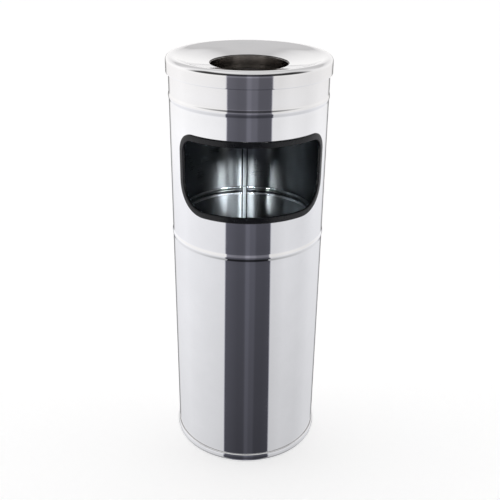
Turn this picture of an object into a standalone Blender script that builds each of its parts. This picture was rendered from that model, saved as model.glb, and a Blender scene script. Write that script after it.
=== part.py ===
"""Free-standing stainless ashtray bin: a tall round body with a wide front
mouth, a lift-off ashtray head with a removable ash cup, and a stainless
inner bucket with a swinging bail.

Frame: +Z up, origin on the floor under the middle of the body, front mouth
facing -Y. Driving dimensions below are in millimetres; MM turns them into
metres.
"""

import math

import bmesh
import bpy
from mathutils import Matrix

MM = 0.001
SEG = 40                      # facets round every turned piece
GAP = 0.3                     # free play between neighbouring pieces

# ---- body shell -----------------------------------------------------------
BODY_R = 120.0                # outside radius of the rolled sheet
SHEET = 0.6                   # body sheet thickness
BODY_BOTTOM = 6.6             # lower edge, inside the base pan's channel
BODY_TOP = 654.6              # top of the outward hem
HEM_R = 122.6                 # outer radius of the hem, guides the head's skirt
BEADS = (383.4, 602.0)        # heights of the two swaged beads
BEAD_HALF = 6.0               # half height of a bead
BEAD_OUT = 1.0                # how far a bead stands proud
SEAM_W = 8.5                  # lock seam at the back: width and depth inside
SEAM_D = 1.7
SEAM_X = 3.0                  # the seam sits this far off the mouth's opposite

# ---- front mouth (unrolled outline on the body's surface) -------------------
MOUTH_HALF = 117.5            # half width along the arc, at the trim's inner edge
MOUTH_LOW = 449.2
MOUTH_HIGH = 553.6
MOUTH_R_TOP = 20.0            # corner radii at the trim's inner edge
MOUTH_R_LOW = 40.0
TRIM_WEB = 2.2                # trim from its inner edge to the sheet's edge
TRIM_BAND = 9.6               # trim from its inner edge to its outer edge
TRIM_LEG = 1.5                # thickness of the trim's two legs

# ---- base -------------------------------------------------------------------
PAN_FLOOR = 14.0              # top of the base pan's disc
CHIME_R = 122.6
FOOT_R = 117.6                # floor ring, set inside the chime

# ---- ashtray head -------------------------------------------------------------
SKIRT_R = 123.7
SKIRT_LOW = 636.0
HEAD_T = 0.7
CREST_Z = 659.9
HOLE_R = 59.2
HOLE_Z = 648.0
COLLAR_R = 58.3               # inside radius of the collar ring
COLLAR_TOP = 645.9
LEDGE_Z = 614.6               # top of the ledge that carries the ash cup
LEDGE_R = 54.6

# ---- ash cup --------------------------------------------------------------------
CUP_R = 53.0
CUP_BOTTOM = 558.4
CUP_RIM = 617.8

# ---- inner bucket -----------------------------------------------------------------
BUCKET_R = 107.0
BUCKET_LOW = 14.3
BUCKET_T = 0.6
CURL_R = 2.3                  # outside radius of the rolled rim
RIM_TOP = 412.5               # just under the mouth's lower edge
RING_Z, RING_HALF, RING_OUT = 401.6, 3.8, 0.9   # stiffening bead under the rim
BUCKET_SEAM_X, BUCKET_SEAM_W, BUCKET_SEAM_D = 2.1, 8.0, 1.2
WIRE_R = 1.35                 # wire inside the rolled rim
BAIL_R = 2.0                  # bail wire radius
PIVOT_Z = RIM_TOP + BAIL_R + 0.4
EAR_W = 16.0
EAR_T = 1.5
RIVET_Z = (RIM_TOP - 35.0, RIM_TOP - 21.0)
RIVET_R = 2.0


# ---- scene helpers -------------------------------------------------------------------
for old in list(bpy.data.objects):
    bpy.data.objects.remove(old, do_unlink=True)

product = bpy.data.collections.new("ashtray_bin")
cutters = bpy.data.collections.new("cutters")
bpy.context.scene.collection.children.link(product)
bpy.context.scene.collection.children.link(cutters)


def material(name, colour, roughness, metallic):
    m = bpy.data.materials.new(name)
    m.use_nodes = True
    shader = m.node_tree.nodes["Principled BSDF"]
    shader.inputs["Base Color"].default_value = (*colour, 1.0)
    shader.inputs["Roughness"].default_value = roughness
    shader.inputs["Metallic"].default_value = metallic
    m.diffuse_color = (*colour, 1.0)
    return m


POLISHED = material("polished_stainless", (0.80, 0.80, 0.81), 0.06, 1.0)
BRUSHED = material("brushed_stainless", (0.46, 0.44, 0.42), 0.28, 1.0)
WIRE = material("steel_wire", (0.62, 0.62, 0.63), 0.30, 1.0)
PVC = material("black_pvc", (0.018, 0.018, 0.020), 0.38, 0.0)
RUBBER = material("black_foot_rubber", (0.022, 0.022, 0.022), 0.60, 0.0)


def place(obj, mat=None, cutter=False, sharp=30.0):
    """Puts an object in its collection, with its finish and shading."""
    for c in list(obj.users_collection):
        c.objects.unlink(obj)
    (cutters if cutter else product).objects.link(obj)
    if cutter:
        obj.hide_render = True
        obj.display_type = "WIRE"
    elif mat is not None:
        obj.data.materials.clear()
        obj.data.materials.append(mat)
    if obj.type == "MESH" and not cutter:
        obj.data.shade_smooth()
        obj.data.set_sharp_from_angle(angle=math.radians(sharp))
    return obj


def empty(name, location):
    e = bpy.data.objects.new(name, None)
    e.location = [v * MM for v in location]
    e.empty_display_size = 0.05
    product.objects.link(e)
    return e


def turned(name, profile, mat=None, closed=True, steps=SEG, cutter=False):
    """A turned piece: the profile (radius, height) swept round Z by Screw."""
    mesh = bpy.data.meshes.new(name)
    verts = [(r * MM, 0.0, z * MM) for r, z in profile]
    edges = [(i, i + 1) for i in range(len(verts) - 1)]
    if closed:
        edges.append((len(verts) - 1, 0))
    mesh.from_pydata(verts, edges, [])
    obj = bpy.data.objects.new(name, mesh)
    product.objects.link(obj)
    screw = obj.modifiers.new("Turn", "SCREW")
    screw.axis = "Z"
    screw.angle = 2 * math.pi
    screw.steps = screw.render_steps = steps
    screw.use_merge_vertices = True
    screw.merge_threshold = 1e-5
    screw.use_smooth_shade = True
    return place(obj, mat, cutter)


def baked(obj):
    """The object's evaluated mesh as its own mesh, with caps welded."""
    bpy.context.view_layer.update()
    graph = bpy.context.evaluated_depsgraph_get()
    mesh = bpy.data.meshes.new_from_object(obj.evaluated_get(graph))
    bm = bmesh.new()
    bm.from_mesh(mesh)
    bmesh.ops.remove_doubles(bm, verts=bm.verts, dist=1e-6)
    bmesh.ops.recalc_face_normals(bm, faces=bm.faces)
    bm.to_mesh(mesh)
    bm.free()
    name, world = obj.name, obj.matrix_world.copy()
    bpy.data.objects.remove(obj, do_unlink=True)
    made = bpy.data.objects.new(name, mesh)
    made.matrix_world = world
    product.objects.link(made)
    return made


def boolean(obj, other, operation, name):
    b = obj.modifiers.new(name, "BOOLEAN")
    b.operation = operation
    b.object = other
    b.solver = "EXACT"
    return b


def outline_plate(name, points, depth, cutter=True):
    """A flat outline in the X-Z plane, extruded along Y by depth each way."""
    curve = bpy.data.curves.new(name, "CURVE")
    curve.dimensions = "2D"
    curve.fill_mode = "BOTH"
    curve.extrude = depth * MM
    spline = curve.splines.new("POLY")
    spline.points.add(len(points) - 1)
    for p, (x, z) in zip(spline.points, points):
        p.co = (x * MM, z * MM, 0.0, 1.0)
    spline.use_cyclic_u = True
    obj = bpy.data.objects.new(name, curve)
    obj.rotation_euler = (math.pi / 2, 0.0, 0.0)
    product.objects.link(obj)
    obj = baked(obj)
    return place(obj, None, True) if cutter else obj


def parallel(points, t):
    """The open profile moved by t to its right-hand side."""
    out = []
    for i, (x, z) in enumerate(points):
        before = points[max(i - 1, 0)]
        after = points[min(i + 1, len(points) - 1)]
        n = []
        for a, b in ((before, (x, z)), ((x, z), after)):
            d = math.hypot(b[0] - a[0], b[1] - a[1])
            if d > 1e-9:
                n.append(((b[1] - a[1]) / d, -(b[0] - a[0]) / d))
        nx = sum(v[0] for v in n) / len(n)
        nz = sum(v[1] for v in n) / len(n)
        s = nx * nx + nz * nz
        out.append((x + t * nx / s, z + t * nz / s))
    return out


# ---- body shell ------------------------------------------------------------------------
def bead(centre, r):
    """Points of a swaged bead from its top to its bottom on radius r."""
    h, o = BEAD_HALF, BEAD_OUT
    return [(r, centre + h), (r + 0.62 * o, centre + 0.5 * h),
            (r + o, centre), (r + 0.62 * o, centre - 0.5 * h), (r, centre - h)]


inner_r = BODY_R - SHEET
body_outer = [(120.4, BODY_TOP), (121.5, BODY_TOP - 0.6), (HEM_R, BODY_TOP - 1.9), (HEM_R, BODY_TOP - 5.2),
              (BODY_R, BODY_TOP - 6.6)]
body_outer += bead(BEADS[1], BODY_R) + bead(BEADS[0], BODY_R)
body_outer += [(BODY_R, BODY_BOTTOM)]
body_inner = [(inner_r, BODY_BOTTOM)]
body_inner += bead(BEADS[0], inner_r)[::-1] + bead(BEADS[1], inner_r)[::-1]
body_inner += [(inner_r, BODY_TOP - 0.8)]
body_shell = turned("body_shell", body_outer + body_inner, POLISHED)

# The lock seam is a folded rib on the inside of the sheet, opposite the mouth.
bpy.ops.mesh.primitive_cube_add(size=1.0)
seam = bpy.context.object
seam.name = "seam_fold"
seam_low, seam_high = 16.0, 644.0
for v in seam.data.vertices:
    v.co.x = (v.co.x * SEAM_W + SEAM_X) * MM
    v.co.y = v.co.y * (SEAM_D + 0.3) * MM + (inner_r - SEAM_D + (SEAM_D + 0.3) / 2) * MM
    v.co.z = v.co.z * (seam_high - seam_low) * MM + (seam_high + seam_low) / 2 * MM
place(seam, None, True)
boolean(body_shell, seam, "UNION", "Lock seam")


def mouth(grow, steps=6):
    """Front view of the mouth's outline, grown by a distance on the sheet."""
    half = MOUTH_HALF + grow
    low, high = MOUTH_LOW - grow, MOUTH_HIGH + grow
    rt, rb = MOUTH_R_TOP + grow, MOUTH_R_LOW + grow
    flat = []
    for cx, cz, r, start in (
        (half - rt, high - rt, rt, 0.0), (-half + rt, high - rt, rt, 90.0),
        (-half + rb, low + rb, rb, 180.0), (half - rb, low + rb, rb, 270.0),
    ):
        for k in range(steps + 1):
            a = math.radians(start + 90.0 * k / steps)
            flat.append((cx + r * math.cos(a), cz + r * math.sin(a)))
    # long edges get points of their own, so that they follow the wrap
    filled = []
    for i, (s, z) in enumerate(flat):
        filled.append((s, z))
        s2, z2 = flat[(i + 1) % len(flat)]
        n = int(abs(s2 - s) // 26)
        for k in range(1, n + 1):
            f = k / (n + 1)
            filled.append((s + (s2 - s) * f, z + (z2 - z) * f))
    return [(BODY_R * math.sin(s / BODY_R), z) for s, z in filled]


def mouth_plate(name, grow):
    """A prism of the mouth's outline, through the front wall only."""
    plate = outline_plate(name, mouth(grow), 45.0)
    for v in plate.data.vertices:
        v.co.z += 0.095        # the curve's own Z points to -Y once it stands up
    return plate


cut_sheet = mouth_plate("cut_mouth_sheet", TRIM_WEB)
boolean(body_shell, cut_sheet, "DIFFERENCE", "Mouth")

# ---- mouth trim: a U-section edge profile gripping the sheet -------------------------------
trim_in = inner_r - GAP - TRIM_LEG
trim_out = BODY_R + GAP + TRIM_LEG
opening_trim = turned(
    "opening_trim",
    [(trim_out, 572.0), (trim_out, 432.0), (trim_in, 432.0), (trim_in, 572.0)],
    PVC,
)
slot = turned(
    "slot_ring",
    [(BODY_R + GAP, 574.0), (BODY_R + GAP, 430.0), (inner_r - GAP, 430.0), (inner_r - GAP, 574.0)],
    cutter=True,
)
boolean(slot, mouth_plate("keep_web", TRIM_WEB - 0.5), "DIFFERENCE", "Web")
boolean(opening_trim, mouth_plate("trim_outer", TRIM_BAND), "INTERSECT", "Outline")
boolean(opening_trim, mouth_plate("trim_inner", 0.0), "DIFFERENCE", "Inside")
boolean(opening_trim, slot, "DIFFERENCE", "Slot")

# ---- base pan with its rolled chime, and the floor ring under it ----------------------------
leg = BODY_R - SHEET - GAP
base_pan = turned("base_pan", [
    (0.0, PAN_FLOOR), (leg - 0.5, PAN_FLOOR), (leg, PAN_FLOOR - 0.5), (leg, BODY_BOTTOM - GAP),
    (BODY_R + GAP, BODY_BOTTOM - GAP), (BODY_R + GAP, 12.6), (BODY_R + 0.9, 13.1), (CHIME_R - 0.7, 12.3),
    (CHIME_R - 0.1, 10.0), (CHIME_R, 6.9), (CHIME_R - 0.2, 3.8), (CHIME_R - 1.0, 1.5), (CHIME_R - 2.2, 0.5),
    (FOOT_R + 0.9, 0.5), (FOOT_R + GAP, 1.1), (FOOT_R + GAP, 5.4), (leg - 0.6, 5.8),
    (leg - 0.6, PAN_FLOOR - 1.1), (leg - 1.1, PAN_FLOOR - 0.6), (0.0, PAN_FLOOR - 0.6),
], POLISHED, closed=False)

foot_ring = turned("foot_ring", [
    (leg - 0.6 - GAP, 10.4), (leg - 0.6 - GAP, 6.4), (FOOT_R, 6.0), (FOOT_R, 0.8), (FOOT_R - 0.8, 0.0),
    (109.0, 0.0), (108.2, 0.8), (108.2, 3.4), (115.4, 5.4), (116.6, 10.4),
], RUBBER)

# ---- ashtray head: skirt, rolled lip, dish and the hole's turned-down edge ------------------
head_top = [
    (HOLE_R, 640.8), (HOLE_R, HOLE_Z - 0.9), (HOLE_R + 0.3, HOLE_Z - 0.2), (HOLE_R + 1.0, HOLE_Z + 0.1),
    (82.0, 651.9), (99.0, 655.4), (106.5, 657.8), (112.0, 659.4), (116.0, CREST_Z),
    (119.9, 659.1), (122.4, 656.9), (SKIRT_R, 653.3), (SKIRT_R, SKIRT_LOW),
]
head_under = parallel(head_top, HEAD_T)
head_dish = turned("head_dish", head_top + head_under[::-1], POLISHED)

ash_collar = turned("ash_collar", [
    (COLLAR_R + 0.6, COLLAR_TOP), (COLLAR_R + 0.6, LEDGE_Z - 0.6), (LEDGE_R, LEDGE_Z - 0.6),
    (LEDGE_R, LEDGE_Z), (COLLAR_R, LEDGE_Z), (COLLAR_R, 623.2), (COLLAR_R - 0.4, 624.1),
    (COLLAR_R - 0.4, 625.0), (COLLAR_R, 625.9), (COLLAR_R, COLLAR_TOP),
], BRUSHED)

# ---- ash cup: deep-drawn, hangs by its rolled rim on the collar's ledge ----------------------
cup_in = CUP_R - 0.8
ash_cup = turned("ash_cup", [
    (0.0, CUP_BOTTOM + 0.8), (cup_in - 4.0, CUP_BOTTOM + 0.8), (cup_in - 1.1, CUP_BOTTOM + 2.0),
    (cup_in, CUP_BOTTOM + 5.0), (cup_in, CUP_RIM - 3.4), (cup_in + 1.0, CUP_RIM - 0.9), (55.0, CUP_RIM),
    (56.6, CUP_RIM - 0.6), (57.2, CUP_RIM - 1.9), (56.5, LEDGE_Z + GAP), (54.4, LEDGE_Z + GAP), (CUP_R, CUP_RIM - 4.2),
    (CUP_R, CUP_BOTTOM + 4.6), (CUP_R - 1.3, CUP_BOTTOM + 1.3), (CUP_R - 4.6, CUP_BOTTOM),
    (0.0, CUP_BOTTOM),
], BRUSHED, closed=False)

# ---- inner bucket: rolled wall, wired rim, folded base ------------------------------------------
curl_c = (BUCKET_R - BUCKET_T + CURL_R, RIM_TOP - CURL_R)


def arc(centre, r, start, stop, n):
    return [
        (centre[0] + r * math.cos(math.radians(start + (stop - start) * k / n)),
         centre[1] + r * math.sin(math.radians(start + (stop - start) * k / n)))
        for k in range(n + 1)
    ]


def ring_bead(r):
    """Points of the stiffening bead under the rim, from top to bottom."""
    return [(r, RING_Z + RING_HALF), (r + 0.6 * RING_OUT, RING_Z + 0.5 * RING_HALF), (r + RING_OUT, RING_Z),
            (r + 0.6 * RING_OUT, RING_Z - 0.5 * RING_HALF), (r, RING_Z - RING_HALF)]


curl_out = arc(curl_c, CURL_R, 180.0, -135.0, 7)
curl_in = arc(curl_c, CURL_R - BUCKET_T, -135.0, 180.0, 6)
inner_bucket = turned(
    "inner_bucket",
    [(BUCKET_R - BUCKET_T, BUCKET_LOW)] + ring_bead(BUCKET_R - BUCKET_T)[::-1] + curl_out + curl_in
    + ring_bead(BUCKET_R) + [(BUCKET_R, BUCKET_LOW)],
    POLISHED,
)

# its own lock seam, a rib inside at the back
bpy.ops.mesh.primitive_cube_add(size=1.0)
bucket_seam = bpy.context.object
bucket_seam.name = "bucket_seam_fold"
fold_low, fold_high = 22.6, RIM_TOP - 5.0
fold_in, fold_out = BUCKET_R - BUCKET_T - BUCKET_SEAM_D, BUCKET_R - 0.3
for v in bucket_seam.data.vertices:
    v.co.x = (v.co.x * BUCKET_SEAM_W + BUCKET_SEAM_X) * MM
    v.co.y = (v.co.y * (fold_out - fold_in) + (fold_in + fold_out) / 2) * MM
    v.co.z = (v.co.z * (fold_high - fold_low) + (fold_high + fold_low) / 2) * MM
place(bucket_seam, None, True)
boolean(inner_bucket, bucket_seam, "UNION", "Bucket seam")

bucket_in = BUCKET_R - BUCKET_T - GAP
bucket_base = turned("bucket_base", [
    (0.0, 21.8), (bucket_in - 0.8, 21.8), (bucket_in, 21.0), (bucket_in, 14.7),
    (bucket_in - 0.6, 14.7), (bucket_in - 0.6, 20.7), (bucket_in - 1.1, 21.2), (0.0, 21.2),
], POLISHED, closed=False)

bpy.ops.mesh.primitive_torus_add(
    major_radius=curl_c[0] * MM, minor_radius=WIRE_R * MM,
    major_segments=SEG, minor_segments=6, location=(0, 0, curl_c[1] * MM),
)
rim_wire = bpy.context.object
rim_wire.name = "bucket_rim_wire"
place(rim_wire, WIRE)


# ---- bail ears and their rivets ---------------------------------------------------------------------
def cylinder_x(name, x0, x1, y, z, r, sides, cutter=False):
    bpy.ops.mesh.primitive_cylinder_add(
        vertices=sides, radius=r * MM, depth=abs(x1 - x0) * MM,
        location=((x0 + x1) / 2 * MM, y * MM, z * MM), rotation=(0, math.pi / 2, 0),
    )
    obj = bpy.context.object
    obj.name = name
    return place(obj, None, True) if cutter else obj


pad_x = BUCKET_R + GAP                     # ear pad rests against the wall
eye_x = curl_c[0] + CURL_R + 0.9           # ear eye stands clear of the rolled rim
holes = []
for side, sign in (("left", -1.0), ("right", 1.0)):
    profile = [
        (pad_x, RIM_TOP - 42.0), (pad_x + EAR_T, RIM_TOP - 42.0), (pad_x + EAR_T, RIM_TOP - 15.6),
        (eye_x + EAR_T, RIM_TOP - 10.4), (eye_x + EAR_T, PIVOT_Z + 6.4), (eye_x, PIVOT_Z + 6.4),
        (eye_x, RIM_TOP - 9.6), (pad_x, RIM_TOP - 14.8),
    ]
    ear = outline_plate(f"bail_ear_{side}", [(sign * x, z) for x, z in profile], EAR_W / 2, cutter=False)
    place(ear, BRUSHED)
    eye = cylinder_x(f"eye_hole_{side}", sign * (eye_x - 3), sign * (eye_x + EAR_T + 3), 0.0, PIVOT_Z,
                     BAIL_R + 0.35, 12, cutter=True)
    boolean(ear, eye, "DIFFERENCE", "Eye")
    for level, z in enumerate(RIVET_Z):
        hole = cylinder_x(f"rivet_hole_{side}_{level}", sign * (BUCKET_R - 4), sign * (pad_x + EAR_T + 3),
                          0.0, z, RIVET_R + 0.3, 10, cutter=True)
        boolean(ear, hole, "DIFFERENCE", f"Rivet {level}")
        holes.append(hole)

for i, hole in enumerate(holes):
    boolean(inner_bucket, hole, "DIFFERENCE", f"Rivet hole {i}")

number = 0
for side, sign in (("left", -1.0), ("right", 1.0)):
    for level, z in enumerate(RIVET_Z):
        number += 1
        head_in, head_out = BUCKET_R - BUCKET_T - GAP, pad_x + EAR_T + GAP
        # a rivet is turned about its own axis, then laid along X
        profile = [
            (0.0, head_out + 1.3), (2.3, head_out + 1.0), (3.5, head_out), (RIVET_R, head_out),
            (RIVET_R, head_in), (3.5, head_in), (2.3, head_in - 1.0), (0.0, head_in - 1.3),
        ]
        rivet = turned(f"ear_rivet_{number}", profile, WIRE, closed=False, steps=10)
        rivet.rotation_euler = (0.0, sign * math.pi / 2, 0.0)
        rivet.location = (0.0, 0.0, z * MM)

# ---- bail: a wire half-hoop that lies on the rim's front half, its ends turned out through the ears ----------------
bail_curve = bpy.data.curves.new("bail_handle", "CURVE")
bail_curve.dimensions = "3D"
bail_curve.bevel_depth = BAIL_R * MM
bail_curve.bevel_resolution = 2
bail_curve.use_fill_caps = True
hoop = curl_c[0]
path = [(eye_x + EAR_T + 2.6, 0.0), (eye_x + 0.2, 0.0)]
bend = 3.2
centre = (hoop + bend, bend)
path += [
    (centre[0] - bend * math.sin(math.radians(a)), centre[1] - bend * math.cos(math.radians(a)))
    for a in (15, 40, 65, 90)
]
first = math.degrees(math.asin(2 * bend / hoop))
turns = 30
path += [
    (hoop * math.cos(math.radians(first + (180 - 2 * first) * k / turns)),
     hoop * math.sin(math.radians(first + (180 - 2 * first) * k / turns)))
    for k in range(turns + 1)
]
path += [(-x, y) for x, y in reversed(path[:6])]
spline = bail_curve.splines.new("POLY")
spline.points.add(len(path) - 1)
for p, (x, y) in zip(spline.points, path):
    p.co = (x * MM, -y * MM, 0.0, 1.0)
bail = bpy.data.objects.new("bail_handle", bail_curve)
product.objects.link(bail)
bail_curve.materials.append(WIRE)

# ---- assembly: each moving group hangs from an empty on its joint ---------------------------------------
head_axis = empty("head_lift_axis", (0.0, 0.0, BODY_TOP))
cup_axis = empty("cup_lift_axis", (0.0, 0.0, LEDGE_Z))
bucket_axis = empty("bucket_lift_axis", (0.0, 0.0, BUCKET_LOW))
bail_axis = empty("bail_swing_axis", (0.0, 0.0, PIVOT_Z))


def hang(obj, parent):
    """Parents without moving the piece."""
    bpy.context.view_layer.update()
    obj.parent = parent
    obj.matrix_parent_inverse = parent.matrix_world.inverted()


cup_axis.parent = head_axis
cup_axis.matrix_parent_inverse = Matrix.Translation((0, 0, -BODY_TOP * MM))
bail_axis.parent = bucket_axis
bail_axis.matrix_parent_inverse = Matrix.Translation((0, 0, -BUCKET_LOW * MM))
bpy.context.view_layer.update()
for piece in (head_dish, ash_collar):
    hang(piece, head_axis)
hang(ash_cup, cup_axis)
for piece in [inner_bucket, bucket_base, rim_wire] + [
    o for o in product.objects if o.name.startswith(("bail_ear_", "ear_rivet_"))
]:
    hang(piece, bucket_axis)
bail.parent = bail_axis            # the hoop is drawn about the pivot itself
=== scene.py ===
import math

import bmesh
import bpy
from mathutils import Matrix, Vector


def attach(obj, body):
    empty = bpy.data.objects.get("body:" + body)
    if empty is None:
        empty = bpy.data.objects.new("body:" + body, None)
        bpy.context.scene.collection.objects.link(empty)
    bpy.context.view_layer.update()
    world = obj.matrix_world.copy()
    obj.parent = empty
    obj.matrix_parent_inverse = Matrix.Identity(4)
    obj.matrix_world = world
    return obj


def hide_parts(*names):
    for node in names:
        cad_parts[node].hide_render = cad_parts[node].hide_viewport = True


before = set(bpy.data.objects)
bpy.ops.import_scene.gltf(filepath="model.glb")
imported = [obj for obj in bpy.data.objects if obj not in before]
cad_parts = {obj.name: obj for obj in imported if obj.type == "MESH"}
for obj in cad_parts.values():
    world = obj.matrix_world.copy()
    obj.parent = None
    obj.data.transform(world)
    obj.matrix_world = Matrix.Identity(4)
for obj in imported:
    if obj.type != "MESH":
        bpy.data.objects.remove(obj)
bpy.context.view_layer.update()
MM = 0.001
SEG = 192

# The same driving dimensions as the CAD, in millimetres.
BODY_R, SHEET = 120.0, 0.6
INNER_R = BODY_R - SHEET
BODY_BOTTOM, BODY_TOP = 6.6, 654.6
HEM_R = 122.6
BEADS, BEAD_HALF, BEAD_OUT = (383.4, 602.0), 6.0, 1.0
SEAM_W, SEAM_D, SEAM_X = 8.5, 1.7, 3.0
MOUTH_HALF, MOUTH_LOW, MOUTH_HIGH = 117.5, 449.2, 553.6
MOUTH_R_TOP, MOUTH_R_LOW = 20.0, 40.0
TRIM_WEB, TRIM_BAND, TRIM_LEG, GAP = 2.2, 9.6, 1.5, 0.3
PAN_FLOOR, CHIME_R, FOOT_R = 14.0, 122.6, 117.6
SKIRT_R, SKIRT_LOW, HEAD_T, CREST_Z = 123.7, 636.0, 0.7, 659.9
HOLE_R, HOLE_Z = 59.2, 648.0
COLLAR_R, COLLAR_TOP, LEDGE_Z, LEDGE_R = 58.3, 645.9, 614.6, 54.6
CUP_R, CUP_BOTTOM, CUP_RIM = 53.0, 558.4, 617.8
BUCKET_R, BUCKET_LOW, BUCKET_T, CURL_R, RIM_TOP = 107.0, 14.3, 0.6, 2.3, 412.5
RING_Z, RING_HALF, RING_OUT = 401.6, 3.8, 0.9
BUCKET_SEAM_X, BUCKET_SEAM_W, BUCKET_SEAM_D = 2.1, 8.0, 1.2
BAIL_R = 2.0
PIVOT_Z = RIM_TOP + BAIL_R + 0.4
EAR_T = 1.5
RIVET_Z = (RIM_TOP - 35.0, RIM_TOP - 21.0)


# ---------------------------------------------------------------------------
# small node helpers
# ---------------------------------------------------------------------------
class Nodes:
    def __init__(self, tree):
        self.t = tree
        self.x = 0

    def new(self, kind, **props):
        n = self.t.nodes.new(kind)
        n.location = (self.x, 0)
        self.x -= 180
        for k, v in props.items():
            setattr(n, k, v)
        return n

    def link(self, a, b):
        self.t.links.new(a, b)

    def put(self, socket, value):
        if hasattr(value, "is_output"):
            self.link(value, socket)
        else:
            socket.default_value = value

    def math(self, op, a, b=0.0, c=0.0, clamp=False):
        n = self.new("ShaderNodeMath", operation=op, use_clamp=clamp)
        for s, v in zip(n.inputs, (a, b, c)):
            self.put(s, v)
        return n.outputs[0]

    def remap(self, v, a, b, c, d, kind="LINEAR"):
        n = self.new("ShaderNodeMapRange", interpolation_type=kind)
        n.clamp = True
        for name, value in (("Value", v), ("From Min", a), ("From Max", b), ("To Min", c), ("To Max", d)):
            self.put(n.inputs[name], value)
        return n.outputs["Result"]

    def ramp(self, v, stops):
        """Piecewise-linear curve through (degrees, value) stops."""
        n = self.new("ShaderNodeValToRGB")
        self.link(self.remap(v, -180.0, 180.0, 0.0, 1.0), n.inputs["Fac"])
        cr = n.color_ramp
        cr.interpolation = "LINEAR"
        while len(cr.elements) < len(stops):
            cr.elements.new(0.5)
        for e, (deg, val) in zip(cr.elements, stops):
            e.position = (deg + 180.0) / 360.0
            e.color = (val, val, val, 1.0) if not isinstance(val, tuple) else (*val, 1.0)
        return n.outputs["Color"]

    def noise(self, vector, scale, detail=3.0, rough=0.5, kind="ShaderNodeTexNoise"):
        n = self.new(kind)
        self.link(vector, n.inputs["Vector"])
        n.inputs["Scale"].default_value = scale
        n.inputs["Detail"].default_value = detail
        n.inputs["Roughness"].default_value = rough
        return n.outputs[0]

    def scaled(self, vector, sx, sy, sz):
        n = self.new("ShaderNodeMapping")
        self.link(vector, n.inputs["Vector"])
        n.inputs["Scale"].default_value = (sx, sy, sz)
        return n.outputs["Vector"]

    def mix(self, f, a, b):
        n = self.new("ShaderNodeMix", data_type="RGBA")
        self.put(n.inputs["Factor"], f)
        self.put(n.inputs["A"], (*a, 1.0) if isinstance(a, tuple) and len(a) == 3 else a)
        self.put(n.inputs["B"], (*b, 1.0) if isinstance(b, tuple) and len(b) == 3 else b)
        return n.outputs["Result"]

    def bump(self, height, distance, strength=1.0, normal=None):
        n = self.new("ShaderNodeBump")
        n.inputs["Strength"].default_value = strength
        n.inputs["Distance"].default_value = distance
        self.link(height, n.inputs["Height"])
        if normal is not None:
            self.link(normal, n.inputs["Normal"])
        return n.outputs["Normal"]


def shader(name, metallic, ior=1.5, specular=0.5):
    m = bpy.data.materials.new(name)
    m.use_nodes = True
    n = Nodes(m.node_tree)
    p = m.node_tree.nodes["Principled BSDF"]
    p.inputs["Metallic"].default_value = metallic
    p.inputs["IOR"].default_value = ior
    p.inputs["Specular IOR Level"].default_value = specular
    coord = n.new("ShaderNodeTexCoord").outputs["Object"]
    return m, n, p, coord


def polar(n, coord):
    """(r, turn) of the object coordinates about Z."""
    s = n.new("ShaderNodeSeparateXYZ")
    n.link(coord, s.inputs[0])
    r = n.math("SQRT", n.math("ADD", n.math("MULTIPLY", s.outputs[0], s.outputs[0]),
                              n.math("MULTIPLY", s.outputs[1], s.outputs[1])))
    return r, s.outputs[2], s.outputs


def mirror_steel(name, tint=(0.90, 0.90, 0.91), along="z", rough=(0.030, 0.075), wave=0.00012):
    """Mirror-polished stainless: soft roughness clouds, faint polishing lines,
    and the slow waviness of thin rolled sheet."""
    m, n, p, coord = shader(name, 1.0)
    cloud = n.noise(coord, 14.0, 4.0, 0.6)
    if along == "z":                       # polished along the body's height
        lines = n.noise(n.scaled(coord, 900.0, 900.0, 6.0), 1.0, 2.0, 0.6)
    else:                                  # turned: rings about the axis
        r, z, _ = polar(n, coord)
        c = n.new("ShaderNodeCombineXYZ")
        n.link(n.math("MULTIPLY", r, 1500.0), c.inputs[0])
        n.link(n.math("MULTIPLY", z, 1500.0), c.inputs[1])
        lines = n.noise(c.outputs[0], 1.0, 2.0, 0.6)
    smudge = n.noise(coord, 55.0, 5.0, 0.65)
    f = n.math("ADD", n.math("MULTIPLY", cloud, 0.62), n.math("MULTIPLY", smudge, 0.22))
    f = n.math("ADD", f, n.math("MULTIPLY", lines, 0.16))
    n.link(n.remap(f, 0.36, 0.66, rough[0], rough[1]), p.inputs["Roughness"])
    low = tuple(c * 0.965 for c in tint)
    n.link(n.mix(n.remap(cloud, 0.35, 0.65, 0.0, 1.0), low, tint), p.inputs["Base Color"])
    wavy = n.noise(n.scaled(coord, 1.0, 1.0, 0.55), 7.0, 1.0, 0.4)
    b = n.bump(wavy, wave)
    n.link(n.bump(lines, 0.0000016, 1.0, b), p.inputs["Normal"])
    return m


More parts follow.
